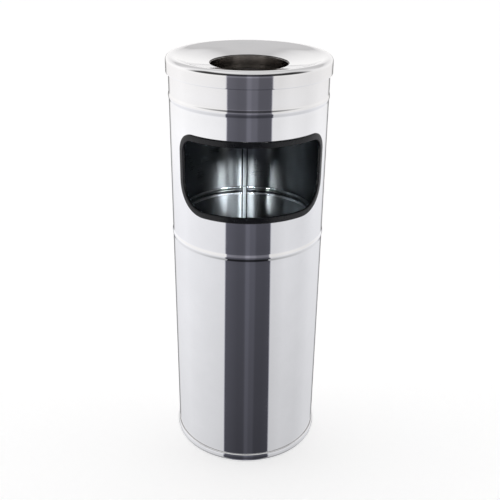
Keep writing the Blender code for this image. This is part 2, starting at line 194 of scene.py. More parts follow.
def mill_steel(name, tint=(0.40, 0.43, 0.45), rough=0.32, aniso=1.0):
    """The sheet's inside: bright mill finish whose rolling lines run round the
    body, so that highlights are drawn out up and down."""
    m, n, p, coord = shader(name, 1.0)
    r, z, xyz = polar(n, coord)
    c = n.new("ShaderNodeCombineXYZ")
    n.link(n.math("MULTIPLY", n.math("ARCTAN2", xyz[0], xyz[1]), 2.0), c.inputs[0])
    n.link(n.math("MULTIPLY", z, 700.0), c.inputs[1])
    grain = n.noise(c.outputs[0], 1.0, 3.0, 0.7)
    cloud = n.noise(coord, 16.0, 4.0, 0.6)
    f = n.math("ADD", n.math("MULTIPLY", grain, 0.45), n.math("MULTIPLY", cloud, 0.55))
    n.link(n.remap(f, 0.38, 0.64, rough * 0.85, rough * 1.15), p.inputs["Roughness"])
    n.link(n.mix(n.remap(cloud, 0.35, 0.65, 0.0, 1.0), tuple(v * 0.93 for v in tint), tint), p.inputs["Base Color"])
    p.inputs["Anisotropic"].default_value = aniso
    p.inputs["Anisotropic Rotation"].default_value = 0.25
    t = n.new("ShaderNodeTangent", direction_type="RADIAL", axis="Z")
    n.link(t.outputs[0], p.inputs["Tangent"])
    wavy = n.noise(n.scaled(coord, 1.0, 1.0, 0.35), 16.0, 1.0, 0.4)
    b = n.bump(wavy, 0.00006)
    n.link(n.bump(grain, 0.0000008, 1.0, b), p.inputs["Normal"])
    return m


def satin_steel(name, tint=(0.40, 0.37, 0.345), rough=(0.22, 0.38)):
    """Spun satin stainless, with fine rings round the axis."""
    m, n, p, coord = shader(name, 1.0)
    r, z, _ = polar(n, coord)
    c = n.new("ShaderNodeCombineXYZ")
    n.link(n.math("MULTIPLY", r, 900.0), c.inputs[0])
    n.link(n.math("MULTIPLY", z, 900.0), c.inputs[1])
    rings = n.noise(c.outputs[0], 1.0, 3.0, 0.7)
    stain = n.noise(coord, 38.0, 5.0, 0.65)
    n.link(n.remap(n.math("ADD", n.math("MULTIPLY", rings, 0.6), n.math("MULTIPLY", stain, 0.4)),
                   0.35, 0.65, rough[0], rough[1]), p.inputs["Roughness"])
    dark = tuple(c * 0.72 for c in tint)
    n.link(n.mix(n.remap(stain, 0.38, 0.62, 0.0, 1.0), dark, tint), p.inputs["Base Color"])
    n.link(n.bump(rings, 0.00002), p.inputs["Normal"])
    return m


def drawn_wire(name):
    m, n, p, coord = shader(name, 1.0)
    fine = n.noise(coord, 260.0, 4.0, 0.6)
    n.link(n.mix(fine, (0.48, 0.48, 0.49), (0.70, 0.70, 0.71)), p.inputs["Base Color"])
    n.link(n.remap(fine, 0.3, 0.7, 0.20, 0.36), p.inputs["Roughness"])
    n.link(n.bump(fine, 0.00001), p.inputs["Normal"])
    return m


def soft_plastic(name, base, rough, grain=1600.0, depth=0.00001, specular=0.5):
    m, n, p, coord = shader(name, 0.0, 1.5, specular)
    fine = n.noise(coord, grain, 2.0, 0.5)
    dust = n.noise(coord, 60.0, 5.0, 0.7)
    light = tuple(c * 1.55 + 0.003 for c in base)
    n.link(n.mix(n.remap(dust, 0.4, 0.68, 0.0, 1.0), base, light), p.inputs["Base Color"])
    n.link(n.remap(dust, 0.35, 0.65, rough[0], rough[1]), p.inputs["Roughness"])
    n.link(n.bump(fine, depth), p.inputs["Normal"])
    return m


BODY_STEEL = mirror_steel("body_mirror_steel")
HEAD_STEEL = mirror_steel("head_mirror_steel", along="ring", rough=(0.035, 0.09), wave=0.00008)
CHIME_STEEL = mirror_steel("chime_mirror_steel", along="ring", rough=(0.04, 0.10), wave=0.00003)
MILL = mill_steel("body_inside_mill_finish")
BUCKET_STEEL = mill_steel("bucket_mill_finish", (0.48, 0.52, 0.55), 0.34)
BURNISHED = satin_steel("burnished_bead", (0.62, 0.65, 0.68), (0.15, 0.24))
# near-black satin for the seam folds' shoulders: painted shade of the dark creases, not the steel's own colour
SEAM_PAINTED_SHADE = satin_steel("seam_crease_painted_shade", (0.012, 0.012, 0.013), (0.45, 0.60))
EAR_STEEL = satin_steel("ear_satin_steel", (0.60, 0.60, 0.61), (0.22, 0.34))
SATIN = satin_steel("collar_satin_steel", (0.42, 0.395, 0.375), (0.13, 0.20))
CUP_STEEL = satin_steel("cup_satin_steel", (0.55, 0.53, 0.50), (0.20, 0.34))
WIRE = drawn_wire("bright_drawn_wire")
PVC = soft_plastic("mouth_trim_pvc", (0.0060, 0.0065, 0.0085), (0.20, 0.30), specular=0.32)
RUBBER = soft_plastic("foot_ring_rubber", (0.020, 0.020, 0.020), (0.50, 0.66), 900.0, 0.00003)


# ---------------------------------------------------------------------------
# geometry helpers
# ---------------------------------------------------------------------------
def finish_mesh(name, bm, mat, sharp=32.0):
    bmesh.ops.recalc_face_normals(bm, faces=bm.faces)
    mesh = bpy.data.meshes.new(name)
    bm.to_mesh(mesh)
    bm.free()
    mesh.shade_smooth()
    mesh.set_sharp_from_angle(angle=math.radians(sharp))
    obj = bpy.data.objects.new(name, mesh)
    bpy.context.scene.collection.objects.link(obj)
    if mat:
        mesh.materials.append(mat)
    return obj


def fillet(points, closed=True, steps=5):
    """Rounds the corners (r, z, radius) of a profile."""
    out = []
    n = len(points)
    for i, p in enumerate(points):
        radius = p[2] if len(p) > 2 else 0.0
        if radius <= 0 or (not closed and i in (0, n - 1)):
            out.append((p[0], p[1]))
            continue
        a, b, c = Vector(points[i - 1][:2]), Vector(p[:2]), Vector(points[(i + 1) % n][:2])
        u, v = (a - b), (c - b)
        lu, lv = u.length, v.length
        u, v = u / lu, v / lv
        half = math.acos(max(-1.0, min(1.0, u.dot(v)))) / 2
        if half > math.radians(89.0):
            out.append((p[0], p[1]))
            continue
        cut = min(radius / math.tan(half), lu * 0.48, lv * 0.48)
        radius = cut * math.tan(half)
        centre = b + (u + v).normalized() * (radius / math.sin(half))
        start, stop = b + u * cut - centre, b + v * cut - centre
        sweep = start.angle_signed(stop)
        a0 = math.atan2(start.y, start.x)
        for k in range(steps + 1):
            t = a0 - sweep * k / steps
            out.append((centre.x + radius * math.cos(t), centre.y + radius * math.sin(t)))
    return out


def lathe(name, profile, mat, closed=True, seg=SEG, sharp=32.0, phase=0.0):
    bm = bmesh.new()
    rings = []
    for r, z in profile:
        if r < 1e-6:
            rings.append([bm.verts.new((0, 0, z * MM))])
        else:
            rings.append([
                bm.verts.new((r * MM * math.cos(phase + 2 * math.pi * k / seg),
                              r * MM * math.sin(phase + 2 * math.pi * k / seg), z * MM))
                for k in range(seg)
            ])
    pairs = list(zip(rings, rings[1:]))
    if closed:
        pairs.append((rings[-1], rings[0]))
    for a, b in pairs:
        for k in range(seg):
            q = (k + 1) % seg
            if len(a) == 1 and len(b) == 1:
                continue
            if len(a) == 1:
                bm.faces.new((a[0], b[k], b[q]))
            elif len(b) == 1:
                bm.faces.new((a[k], b[0], a[q]))
            else:
                bm.faces.new((a[k], b[k], b[q], a[q]))
    return finish_mesh(name, bm, mat, sharp)


def parallel(points, t):
    out = []
    for i, (x, z) in enumerate(points):
        before, after = points[max(i - 1, 0)], points[min(i + 1, len(points) - 1)]
        ns = []
        for a, b in ((before, (x, z)), ((x, z), after)):
            d = math.hypot(b[0] - a[0], b[1] - a[1])
            if d > 1e-9:
                ns.append(((b[1] - a[1]) / d, -(b[0] - a[0]) / d))
        nx, nz = sum(v[0] for v in ns) / len(ns), sum(v[1] for v in ns) / len(ns)
        s = nx * nx + nz * nz
        out.append((x + t * nx / s, z + t * nz / s))
    return out


def smooth(points, per=6):
    """Catmull-Rom through the points (centripetal)."""
    pts = [Vector(p) for p in points]
    pts = [pts[0] * 2 - pts[1]] + pts + [pts[-1] * 2 - pts[-2]]
    out = []
    for i in range(1, len(pts) - 2):
        p0, p1, p2, p3 = pts[i - 1:i + 3]
        t0 = 0.0
        t1 = t0 + max((p1 - p0).length, 1e-6) ** 0.5
        t2 = t1 + max((p2 - p1).length, 1e-6) ** 0.5
        t3 = t2 + max((p3 - p2).length, 1e-6) ** 0.5
        for k in range(per):
            t = t1 + (t2 - t1) * k / per
            a1 = p0 * ((t1 - t) / (t1 - t0)) + p1 * ((t - t0) / (t1 - t0))
            a2 = p1 * ((t2 - t) / (t2 - t1)) + p2 * ((t - t1) / (t2 - t1))
            a3 = p2 * ((t3 - t) / (t3 - t2)) + p3 * ((t - t2) / (t3 - t2))
            b1 = a1 * ((t2 - t) / (t2 - t0)) + a2 * ((t - t0) / (t2 - t0))
            b2 = a2 * ((t3 - t) / (t3 - t1)) + a3 * ((t - t1) / (t3 - t1))
            c = b1 * ((t2 - t) / (t2 - t1)) + b2 * ((t - t1) / (t2 - t1))
            out.append((c.x, c.y))
    out.append((pts[-2].x, pts[-2].y))
    return out


def on_sheet(s, z, r):
    """A point at arc length s from the front's middle, on radius r."""
    a = s / BODY_R
    return (r * MM * math.sin(a), -r * MM * math.cos(a), z * MM)


def outline(grow=0.0, steps=14, pitch=5.0):
    """Closed mouth outline as (s, z, normal_s, normal_z), anticlockwise."""
    half = MOUTH_HALF + grow
    low, high = MOUTH_LOW - grow, MOUTH_HIGH + grow
    rt, rb = MOUTH_R_TOP + grow, MOUTH_R_LOW + grow
    flat = []
    for cx, cz, r, start in (
        (half - rt, high - rt, rt, 0.0), (-half + rt, high - rt, rt, 90.0),
        (-half + rb, low + rb, rb, 180.0), (half - rb, low + rb, rb, 270.0),
    ):
        for k in range(steps + 1):
            a = math.radians(start + 90.0 * k / steps)
            flat.append((cx + r * math.cos(a), cz + r * math.sin(a), math.cos(a), math.sin(a)))
    out = []
    for i, p in enumerate(flat):
        out.append(p)
        q = flat[(i + 1) % len(flat)]
        n = int(math.hypot(q[0] - p[0], q[1] - p[1]) // pitch)
        for k in range(1, n + 1):
            f = k / (n + 1)
            out.append(tuple(a + (b - a) * f for a, b in zip(p, q)))
    return out


def sweep(name, path, section, mat, sharp=40.0):
    """A closed section (n outward from the mouth, r radius) run round the mouth."""
    bm = bmesh.new()
    rows = [
        [bm.verts.new(on_sheet(s + ns * n, z + nz * n, r)) for n, r in section]
        for s, z, ns, nz in path
    ]
    for i, a in enumerate(rows):
        b = rows[(i + 1) % len(rows)]
        for k in range(len(section)):
            q = (k + 1) % len(section)
            bm.faces.new((a[k], a[q], b[q], b[k]))
    return finish_mesh(name, bm, mat, sharp)


def boolean(obj, other, operation):
    mod = obj.modifiers.new("b", "BOOLEAN")
    mod.operation, mod.object, mod.solver = operation, other, "EXACT"
    graph = bpy.context.evaluated_depsgraph_get()
    mesh = bpy.data.meshes.new_from_object(obj.evaluated_get(graph))
    obj.modifiers.remove(mod)
    mats = list(obj.data.materials)
    obj.data = mesh
    mesh.materials.clear()
    for m in mats:
        mesh.materials.append(m)
    bpy.data.objects.remove(other, do_unlink=True)
    return obj


def piece(obj, body, slot, *nodes):
    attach(obj, body)
    if nodes:
        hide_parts(*nodes)
    return obj


# ---------------------------------------------------------------------------
# body shell
# ---------------------------------------------------------------------------
def bead_points(centre, r, n=14):
    """Top to bottom over one swaged bead: a round crest with small coves."""
    out = []
    h, o = BEAD_HALF, BEAD_OUT
    for k in range(n + 1):
        u = -1.0 + 2.0 * k / n
        rise = 0.5 * (1 + math.cos(math.pi * u)) * 0.55 + 0.45 * math.cos(math.pi * u / 2) ** 1.2
        out.append((r + o * rise, centre - u * h))
    return out


def body_profile():
    t = BODY_TOP
    outer = [(120.4, t), (120.9, t - 0.05), (121.6, t - 0.35), (122.2, t - 0.95), (122.5, t - 1.7), (HEM_R, t - 2.6),
             (HEM_R, t - 4.4), (122.4, t - 5.2), (121.6, t - 6.1), (120.6, t - 6.5), (BODY_R, t - 6.6),
             (BODY_R, t - 9.0), (BODY_R, 616.0)]
    outer += bead_points(BEADS[1], BODY_R) + [(BODY_R, 590.0), (BODY_R, 396.0)]
    outer += bead_points(BEADS[0], BODY_R) + [(BODY_R, 370.0), (BODY_R, BODY_BOTTOM)]
    inner = [(INNER_R, BODY_BOTTOM), (INNER_R, 370.0)] + bead_points(BEADS[0], INNER_R)[::-1]
    inner += [(INNER_R, 396.0), (INNER_R, 590.0)] + bead_points(BEADS[1], INNER_R)[::-1]
    inner += [(INNER_R, 616.0), (INNER_R, t - 1.0), (119.6, t - 0.3), (120.0, t)]
    return outer, inner


outer, inner = body_profile()
body = lathe("body_sheet", outer + inner, BODY_STEEL, sharp=40.0)

# mouth cutter: the outline as a plate wrapped to the sheet
bm = bmesh.new()
ring = outline(TRIM_WEB)
near = [bm.verts.new((BODY_R * MM * math.sin(s / BODY_R), -0.150, z * MM)) for s, z, _, _ in ring]
far = [bm.verts.new((BODY_R * MM * math.sin(s / BODY_R), -0.030, z * MM)) for s, z, _, _ in ring]
bm.faces.new(near)
bm.faces.new(far[::-1])
for i in range(len(ring)):
    j = (i + 1) % len(ring)
    bm.faces.new((near[i], near[j], far[j], far[i]))
boolean(body, finish_mesh("cut_mouth", bm, None), "DIFFERENCE")

# outside groove of the lock seam at the back
bm = bmesh.new()
bmesh.ops.create_cube(bm, size=1.0)
for v in bm.verts:
    v.co.x = (v.co.x * 0.7 + SEAM_X) * MM
    v.co.y = v.co.y * 0.8 * MM + (BODY_R + 0.1) * MM
    v.co.z = v.co.z * 700 * MM + 330 * MM
boolean(body, finish_mesh("cut_seam_groove", bm, None), "DIFFERENCE")


def profile_normal(points, z, side):
    """The profile segment (r0, z0, r1, z1) that spans height z, or None."""
    for (r0, z0), (r1, z1) in zip(points, points[1:]):
        if min(z0, z1) - 1e-9 <= z <= max(z0, z1) + 1e-9 and abs(z1 - z0) > 1e-9:
            return r0, z0, r1, z1
    return None


def exact_normals(obj):
    """Normals of the true turned surface, so that the mirror finish shows no
    facets where the mouth was cut."""
    mesh = obj.data
    table = {}
    for side, pts in (("out", outer), ("in", inner)):
        pts = sorted(pts, key=lambda p: p[1])
        nodes = []
        for i, (r, z) in enumerate(pts):
            a, b = pts[max(i - 1, 0)], pts[min(i + 1, len(pts) - 1)]
            dz = b[1] - a[1]
            nodes.append((z, (b[0] - a[0]) / dz if abs(dz) > 1e-9 else 0.0))
        table[side] = nodes
    base = [Vector(c.vector) for c in mesh.corner_normals]
    for poly in mesh.polygons:
        c = poly.center
        z = c.z / MM
        if z > 640.0 or z < BODY_BOTTOM + 0.01:
            continue
        radial = Vector((c.x, c.y, 0.0)).normalized()
        d = poly.normal.dot(radial)
        if abs(d) < 0.6:
            continue
        nodes = table["out" if d > 0 else "in"]
        for li in poly.loop_indices:
            v = mesh.vertices[mesh.loops[li].vertex_index].co
            zz = v.z / MM
            slope = 0.0
            for (z0, s0), (z1, s1) in zip(nodes, nodes[1:]):
                if z0 <= zz <= z1 and z1 > z0:
                    slope = s0 + (s1 - s0) * (zz - z0) / (z1 - z0)
                    break
            rr = Vector((v.x, v.y, 0.0)).normalized()
            nrm = Vector((rr.x, rr.y, -slope)).normalized()
            base[li] = nrm if d > 0 else -nrm
    mesh.normals_split_custom_set([tuple(b) for b in base])


body.data.shade_smooth()
body.data.materials.append(MILL)
for poly in body.data.polygons:
    mid = Vector((poly.center.x, poly.center.y, 0.0))
    if poly.normal.dot(mid) < 0 and mid.length < (INNER_R + 1.2) * MM:
        poly.material_index = 1
exact_normals(body)
piece(body, "bin", "polished_stainless", "body_shell")

def seam_fold(name, radius, x0, half, depth, low, high, mat):
    """A lock seam's fold on the inside: a flat middle between two steep
    shoulders, painted near-black as the shade in the creases."""
    bm = bmesh.new()
    sec = fillet([(-half - 1.1, 0.2), (-half - 1.0, -0.05), (-half + 0.9, -depth, 0.5), (-0.5, -depth, 0.2),
                  (-0.3, -depth + 0.3, 0.12), (0.3, -depth + 0.3, 0.12), (0.5, -depth, 0.2),
                  (half - 0.9, -depth, 0.5), (half + 1.0, -0.05), (half + 1.1, 0.2)], closed=False, steps=4)
    rows = []
    for k in range(9):
        z = low + (high - low) * k / 8
        row = []
        for x, y in sec:
            a = (x + x0) / radius
            r = radius + y
            row.append(bm.verts.new((r * MM * math.sin(a), r * MM * math.cos(a), z * MM)))
        rows.append(row)
    for a, b in zip(rows, rows[1:]):
        for k in range(len(sec) - 1):
            f = bm.faces.new((a[k], a[k + 1], b[k + 1], b[k]))
            mid = (sec[k][0] + sec[k + 1][0]) / 2
            # the shoulder faces take slot 1, the near-black painted shade of the creases
            f.material_index = 1 if half - 1.2 < abs(mid) < half + 1.2 else 0
    bm.faces.new(rows[0])
    bm.faces.new(rows[-1][::-1])
    for k in range(len(rows) - 1):
        bm.faces.new((rows[k][0], rows[k + 1][0], rows[k + 1][-1], rows[k][-1]))
    obj = finish_mesh(name, bm, mat, 35.0)
    obj.data.materials.append(SEAM_PAINTED_SHADE)
    return obj


# lock seam of the body: the folded rib inside
seam = seam_fold("lock_seam_fold", INNER_R, SEAM_X, SEAM_W / 2, SEAM_D, 16.0, 644.0, MILL)
piece(seam, "bin", "polished_stainless")

# ---------------------------------------------------------------------------
# mouth trim: moulded U-section, rounded at the mouth and at its lips
# ---------------------------------------------------------------------------
out_r, in_r = BODY_R + GAP + TRIM_LEG, INNER_R - GAP - TRIM_LEG
section = fillet([
    (0.0, out_r, 1.35), (TRIM_BAND - 1.6, out_r - 0.05, 0.8), (TRIM_BAND, BODY_R + GAP + 0.45, 0.35),
    (TRIM_BAND - 0.25, BODY_R + GAP - 0.15, 0.1), (TRIM_WEB - 0.5, BODY_R + GAP - 0.15),
    (TRIM_WEB - 0.5, INNER_R - GAP), (TRIM_BAND - 0.25, INNER_R - GAP, 0.1),
    (TRIM_BAND, INNER_R - GAP - 0.5, 0.35), (TRIM_BAND - 1.4, in_r, 0.7), (0.0, in_r, 1.35),
], steps=5)
trim = sweep("mouth_trim", outline(), section, PVC)
piece(trim, "bin", "black_pvc", "opening_trim")

# ---------------------------------------------------------------------------
# base pan with its chime, and the floor ring
# ---------------------------------------------------------------------------
leg = BODY_R - SHEET - GAP
chime = fillet([
    (0.0, PAN_FLOOR), (leg - 14.0, PAN_FLOOR), (leg, PAN_FLOOR, 0.9),
    (leg, BODY_BOTTOM - GAP), (BODY_R + GAP, BODY_BOTTOM - GAP), (BODY_R + GAP, 12.9, 0.15),
    (BODY_R + 0.8, 13.15, 0.4), (CHIME_R - 0.35, 12.4, 1.2), (CHIME_R + 0.05, 9.2, 3.0), (CHIME_R + 0.05, 4.4, 3.0),
    (CHIME_R - 0.6, 1.3, 1.6), (CHIME_R - 2.2, 0.45, 0.6), (FOOT_R + GAP, 0.45, 0.6), (FOOT_R + GAP, 5.5, 0.2),
    (leg - 0.6, 5.9, 0.2), (leg - 0.6, PAN_FLOOR - 0.6, 0.6), (0.0, PAN_FLOOR - 0.6),
], closed=False, steps=6)
base = lathe("base_pan_chime", chime, CHIME_STEEL, closed=False)
piece(base, "bin", "polished_stainless", "base_pan")

foot = fillet([
    (leg - 0.6 - GAP, 10.4, 0.3), (leg - 0.6 - GAP, 6.3, 0.3), (FOOT_R, 6.0, 0.2), (FOOT_R, 0.0, 0.8),
    (108.2, 0.0, 0.8), (108.2, 3.4, 0.5), (115.4, 5.4, 0.5), (116.6, 10.4, 0.4),
], steps=4)
ring_foot = lathe("floor_ring", foot, RUBBER)
piece(ring_foot, "bin", "foot_rubber", "foot_ring")

# ---------------------------------------------------------------------------
# ashtray head: spun in one piece
# ---------------------------------------------------------------------------
curve = [(HOLE_R, 640.8), (HOLE_R, HOLE_Z - 1.2)] + smooth(
    [(HOLE_R, HOLE_Z - 0.5), (HOLE_R + 0.08, HOLE_Z - 0.18), (HOLE_R + 0.3, HOLE_Z + 0.0), (HOLE_R + 0.7, HOLE_Z + 0.08)], 3
) + smooth(
    [(HOLE_R + 2.4, HOLE_Z + 0.36), (82.0, 652.0), (99.0, 655.4), (106.5, 657.55), (112.0, 659.35),
     (116.0, CREST_Z), (119.9, 659.1), (122.4, 656.9), (123.45, 654.6), (SKIRT_R, 652.4)], 8
)
curve += [(SKIRT_R, 651.2), (SKIRT_R, SKIRT_LOW + 1.4), (SKIRT_R, SKIRT_LOW + 0.35),
          (SKIRT_R - 0.1, SKIRT_LOW + 0.1), (SKIRT_R - 0.35, SKIRT_LOW)]
under = parallel(curve[:-2], HEAD_T)
head = lathe("ashtray_head", curve + [(SKIRT_R - HEAD_T, SKIRT_LOW + 0.05)] + under[::-1], HEAD_STEEL, sharp=38.0)
piece(head, "head", "polished_stainless", "head_dish")

collar = lathe("hole_collar", fillet([
    (COLLAR_R + 0.6, COLLAR_TOP, 0.25), (COLLAR_R + 0.6, LEDGE_Z - 0.6, 0.6), (LEDGE_R, LEDGE_Z - 0.6, 0.25),
    (LEDGE_R, LEDGE_Z, 0.25), (COLLAR_R, LEDGE_Z, 0.5), (COLLAR_R, 623.0, 1.0), (COLLAR_R - 0.55, 624.0, 0.5),
    (COLLAR_R - 0.55, 625.1, 0.5), (COLLAR_R, 626.1, 1.0), (COLLAR_R, COLLAR_TOP, 0.25),
], steps=4), SATIN)
piece(collar, "head", "brushed_stainless", "ash_collar")

cup_in = CUP_R - 0.8
cup = lathe("ash_cup_drawn", smooth([
    (0.0, CUP_BOTTOM + 0.8), (20.0, CUP_BOTTOM + 0.8), (cup_in - 5.5, CUP_BOTTOM + 0.8),
], 2)[:-1] + smooth([
    (cup_in - 5.5, CUP_BOTTOM + 0.8), (cup_in - 2.2, CUP_BOTTOM + 1.5), (cup_in - 0.5, CUP_BOTTOM + 3.2),
    (cup_in, CUP_BOTTOM + 6.5), (cup_in, 588.0), (cup_in, CUP_RIM - 4.2), (cup_in + 0.35, CUP_RIM - 2.0),
    (cup_in + 1.6, CUP_RIM - 0.4), (55.0, CUP_RIM), (56.4, CUP_RIM - 0.35), (57.1, CUP_RIM - 1.5),
    (56.95, CUP_RIM - 2.4), (56.4, LEDGE_Z + GAP),
], 4) + [(54.4, LEDGE_Z + GAP), (CUP_R, CUP_RIM - 4.2), (CUP_R, 588.0)] + smooth([
    (CUP_R, CUP_BOTTOM + 6.2), (CUP_R - 0.6, CUP_BOTTOM + 2.6), (CUP_R - 2.4, CUP_BOTTOM + 0.8),
    (CUP_R - 5.5, CUP_BOTTOM),
], 4) + [(0.0, CUP_BOTTOM)], CUP_STEEL, closed=False, seg=144)
piece(cup, "cup", "brushed_stainless", "ash_cup")

# ---------------------------------------------------------------------------
# inner bucket, its base, bail, ears and rivets
# ---------------------------------------------------------------------------
curl_c = (BUCKET_R - BUCKET_T + CURL_R, RIM_TOP - CURL_R)


def arc(centre, r, start, stop, n):
    return [(centre[0] + r * math.cos(math.radians(start + (stop - start) * k / n)),
             centre[1] + r * math.sin(math.radians(start + (stop - start) * k / n))) for k in range(n + 1)]




def ring_bead(r, n=12):
    """Top to bottom over the stiffening bead under the bucket's rim."""
    return [(r + RING_OUT * 0.5 * (1 + math.cos(math.pi * (-1 + 2 * k / n))), RING_Z + RING_HALF * (1 - 2 * k / n))
            for k in range(n + 1)]


bucket = lathe(
    "inner_bucket_wall",
    [(BUCKET_R - BUCKET_T, z) for z in (BUCKET_LOW, 60.0, 200.0, 340.0, 388.0, 396.0)]
    + ring_bead(BUCKET_R - BUCKET_T)[::-1] + [(BUCKET_R - BUCKET_T, 407.0)]
    + arc(curl_c, CURL_R, 180.0, -135.0, 20) + arc(curl_c, CURL_R - BUCKET_T, -135.0, 180.0, 18)
    + [(BUCKET_R, 407.4)] + ring_bead(BUCKET_R) + [(BUCKET_R, z) for z in (396.0, 388.0, 340.0, 200.0, 60.0, BUCKET_LOW)],
    BUCKET_STEEL,
)
# the rolled bead and the curled rim are burnished by the rolls
bucket.data.materials.append(BURNISHED)
for poly in bucket.data.polygons:
    mid = poly.center.z / MM
    if abs(mid - RING_Z) < RING_HALF or mid > RIM_TOP - 5.4:
        poly.material_index = 1
piece(bucket, "bucket", "polished_stainless", "inner_bucket")

# the bucket's own lock seam
fold = seam_fold("bucket_seam_fold", BUCKET_R - BUCKET_T, BUCKET_SEAM_X, BUCKET_SEAM_W / 2, BUCKET_SEAM_D,
                 22.6, RIM_TOP - 1.2, BUCKET_STEEL)
piece(fold, "bucket", "polished_stainless")

bucket_in = BUCKET_R - BUCKET_T - GAP
floor_disc = lathe("bucket_floor", fillet([
    (0.0, 21.8), (40.0, 21.8), (bucket_in, 21.8, 1.2), (bucket_in, 14.7, 0.2), (bucket_in - 0.6, 14.7, 0.2),
    (bucket_in - 0.6, 21.2, 0.7), (40.0, 21.2), (0.0, 21.2),
], closed=False), BUCKET_STEEL, closed=False, seg=144)
piece(floor_disc, "bucket", "polished_stainless", "bucket_base")

bpy.ops.mesh.primitive_torus_add(
    major_radius=curl_c[0] * MM, minor_radius=1.35 * MM, major_segments=144, minor_segments=10,
    location=(0, 0, curl_c[1] * MM),
)
wire = bpy.context.object
wire.name = "rim_wire_core"
wire.data.shade_smooth()
wire.data.materials.append(WIRE)
bpy.ops.object.transform_apply(location=True)
piece(wire, "bucket", "steel_wire", "bucket_rim_wire")

for side in ("left", "right"):
    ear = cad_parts[f"bail_ear_{side}"]
    for s in ear.material_slots:
        s.material = EAR_STEEL

for i, (sign, z) in enumerate(((-1, RIVET_Z[0]), (-1, RIVET_Z[1]), (1, RIVET_Z[0]), (1, RIVET_Z[1])), 1):
    pad = BUCKET_R + GAP
    head_in, head_out = BUCKET_R - BUCKET_T - GAP, pad + EAR_T + GAP
    dome = [(3.5 * math.cos(math.radians(a)), head_out + 1.3 * math.sin(math.radians(a))) for a in range(90, -1, -15)]
    back = [(3.5 * math.cos(math.radians(a)), head_in - 1.3 * math.sin(math.radians(a))) for a in range(0, 91, 15)]
    prof = [(max(r, 0.0) if r > 1e-6 else 0.0, z0) for r, z0 in dome + [(2.0, head_out), (2.0, head_in)] + back]
    rivet = lathe(f"ear_rivet_head_{i}", prof, WIRE, closed=False, seg=24)
    for v in rivet.data.vertices:
        x, y, zz = v.co
        v.co = (sign * zz, y, z * MM - sign * x)
    piece(rivet, "bucket", "steel_wire", f"ear_rivet_{i}")

# bail: the CAD route with a finer section
eye_x = curl_c[0] + CURL_R + 0.9
hoop, bend = curl_c[0], 3.2
path = [(eye_x + EAR_T + 2.6, 0.0), (eye_x + 0.2, 0.0)]
centre = (hoop + bend, bend)
path += [(centre[0] - bend * math.sin(math.radians(a)), centre[1] - bend * math.cos(math.radians(a)))
         for a in (10, 22, 35, 48, 62, 76, 90)]
first = math.degrees(math.asin(2 * bend / hoop))
path += [(hoop * math.cos(math.radians(first + (180 - 2 * first) * k / 96)),
          hoop * math.sin(math.radians(first + (180 - 2 * first) * k / 96))) for k in range(97)]
path += [(-x, y) for x, y in reversed(path[:9])]
curve_data = bpy.data.curves.new("bail_wire", "CURVE")
curve_data.dimensions = "3D"
curve_data.bevel_depth = BAIL_R * MM
curve_data.bevel_resolution = 5
curve_data.use_fill_caps = True
sp = curve_data.splines.new("POLY")
sp.points.add(len(path) - 1)
for p, (x, y) in zip(sp.points, path):
    p.co = (x * MM, -y * MM, PIVOT_Z * MM, 1.0)
curve_data.materials.append(WIRE)
bail = bpy.data.objects.new("bail_wire", curve_data)
bpy.context.scene.collection.objects.link(bail)
piece(bail, "bail", "steel_wire", "bail_handle")

# ---------------------------------------------------------------------------
# camera
# ---------------------------------------------------------------------------
TURN = math.radians(4.4)              # the bin stands turned this much to the camera
DIST, HEIGHT, PITCH, ROLL, AIM = 1.114, 0.8754, 25.65, 0.71, 3.0 / 747.3
cam_data = bpy.data.cameras.new("view")
cam_data.sensor_width = 36.0
cam_data.lens = 747.3 * 36.0 / 500.0
cam_data.clip_start, cam_data.clip_end = 0.01, 60.0
cam = bpy.data.objects.new("view", cam_data)
bpy.context.scene.collection.objects.link(cam)
cam.location = (-DIST * math.sin(TURN), -DIST * math.cos(TURN), HEIGHT)
yaw = TURN + AIM
pitch = math.radians(PITCH)
fwd = Vector((math.sin(yaw) * math.cos(pitch), math.cos(yaw) * math.cos(pitch), -math.sin(pitch)))
right = fwd.cross(Vector((0, 0, 1))).normalized()
up = right.cross(fwd).normalized()
roll = math.radians(ROLL)
right2 = right * math.cos(roll) + up * math.sin(roll)
up2 = up * math.cos(roll) - right * math.sin(roll)
m = cam.matrix_world.to_3x3()
m.col[0], m.col[1], m.col[2] = right2, up2, -fwd
cam.rotation_mode = "QUATERNION"
cam.rotation_quaternion = m.to_quaternion()
bpy.context.scene.camera = cam

# ---------------------------------------------------------------------------
# soft white studio: a light tent as the world, a pale floor and a backdrop
# ---------------------------------------------------------------------------
scene = bpy.context.scene
scene.view_settings.view_transform = "Standard"
scene.view_settings.look = "None"

world = bpy.data.worlds.new("light_tent")
scene.world = world
world.use_nodes = True
n = Nodes(world.node_tree)
bg = world.node_tree.nodes["Background"]
gen = n.new("ShaderNodeTexCoord").outputs["Generated"]
sep = n.new("ShaderNodeSeparateXYZ")
n.link(gen, sep.inputs[0])
X, Y, Z = sep.outputs
c, s = math.cos(TURN), math.sin(TURN)
# side and front components in the camera's own bearing
side = n.math("SUBTRACT", n.math("MULTIPLY", X, c), n.math("MULTIPLY", Y, s))
front = n.math("MULTIPLY", n.math("ADD", n.math("MULTIPLY", X, s), n.math("MULTIPLY", Y, c)), -1.0)
az = n.math("MULTIPLY", n.math("ARCTAN2", side, front), 57.29578)
el = n.math("MULTIPLY", n.math("ARCSINE", Z), 57.29578)
absaz = n.math("ABSOLUTE", az)

